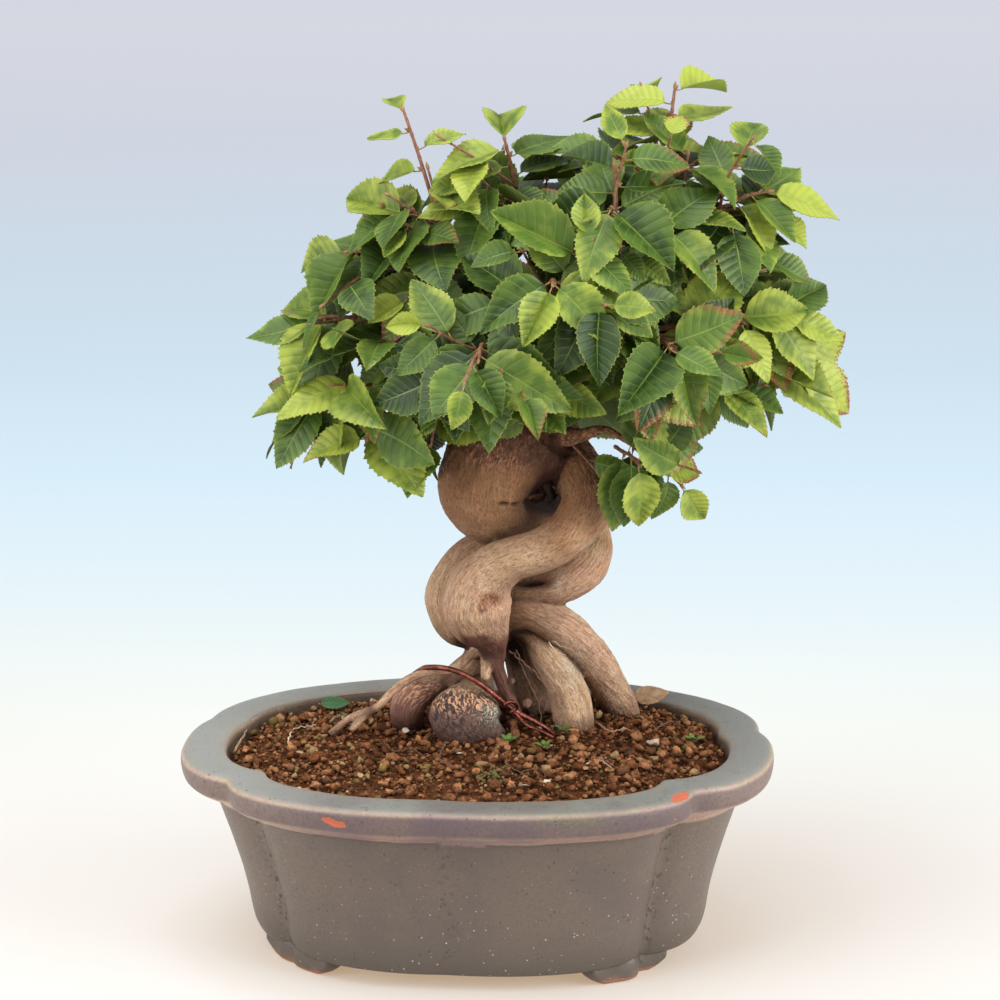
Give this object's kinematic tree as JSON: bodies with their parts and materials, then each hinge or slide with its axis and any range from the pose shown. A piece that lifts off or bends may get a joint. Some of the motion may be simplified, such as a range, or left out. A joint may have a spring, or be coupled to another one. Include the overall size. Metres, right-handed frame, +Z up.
{
  "type": "potted bonsai tree",
  "caption": "Dwarf hornbeam tree with a twisted trunk, surface roots and a leafy crown, in granular soil in a lobed stoneware pot on feet.",
  "frame": {"origin": "under the middle of the whole plant's bounding box, on the surface that the pot stands on", "axes": "+Z up along the tree, +X to the right and +Y away as seen from the front of the tree; the pot's length runs along X"},
  "size_m": [0.2452, 0.1984, 0.3157],
  "materials": {
    "pot": "matt blue-grey stoneware glaze with ochre breaks at the edges",
    "soil": "dull reddish-brown fired clay grains",
    "trunk": "grey-brown bark with long fibrous streaks",
    "foliage": "green leaves with toothed, pleated blades on thin brown twigs",
    "tie_wire": "copper-brown anodised soft aluminium",
    "drain_screen": "black moulded mesh",
    "fallen_leaf": "bluish-green fresh leaf",
    "dry_leaf": "dry brown leaf"
  },
  "bodies": {
    "root": {"drain_screen_left": "drain_screen", "drain_screen_right": "drain_screen", "dry_leaf": "dry_leaf", "fallen_leaf": "fallen_leaf", "pot": "pot", "shoot_back_left_side": "foliage", "shoot_back_left_tip": "foliage", "shoot_back_low_left": "foliage", "shoot_back_low_right": "foliage", "shoot_back_low_tip": "foliage", "shoot_back_right_side": "foliage", "shoot_back_right_tip": "foliage", "shoot_back_up_left": "foliage", "shoot_back_up_tip": "foliage", "shoot_crown_left": "foliage", "shoot_crown_right": "foliage", "shoot_crown_tip": "foliage", "shoot_front_low_left": "foliage", "shoot_front_low_right": "foliage", "shoot_front_low_tip": "foliage", "shoot_front_mid_left": "foliage", "shoot_front_mid_right": "foliage", "shoot_front_mid_tip": "foliage", "shoot_front_right_low": "foliage", "shoot_front_right_side": "foliage", "shoot_front_right_tip": "foliage", "shoot_front_up_left": "foliage", "shoot_front_up_right": "foliage", "shoot_front_up_tip": "foliage", "shoot_left_low_front": "foliage", "shoot_left_low_hang": "foliage", "shoot_left_low_tip": "foliage", "shoot_left_mid_back": "foliage", "shoot_left_mid_front": "foliage", "shoot_left_mid_tip": "foliage", "shoot_left_spur_side": "foliage", "shoot_left_spur_tip": "foliage", "shoot_left_up_back": "foliage", "shoot_left_up_front": "foliage", "shoot_left_up_tip": "foliage", "shoot_right_low_front": "foliage", "shoot_right_low_hang": "foliage", "shoot_right_low_tip": "foliage", "shoot_right_mid_back": "foliage", "shoot_right_mid_front": "foliage", "shoot_right_mid_tip": "foliage", "shoot_right_twig_front": "foliage", "shoot_right_twig_tip": "foliage", "shoot_right_up_back": "foliage", "shoot_right_up_front": "foliage", "shoot_right_up_tip": "foliage", "shoot_top_left_back": "foliage", "shoot_top_left_front": "foliage", "shoot_top_left_tip": "foliage", "shoot_top_mid_side": "foliage", "shoot_top_mid_tip": "foliage", "soil": "soil", "tie_wire": "tie_wire", "trunk": "trunk"}
  },
  "joints": []
}
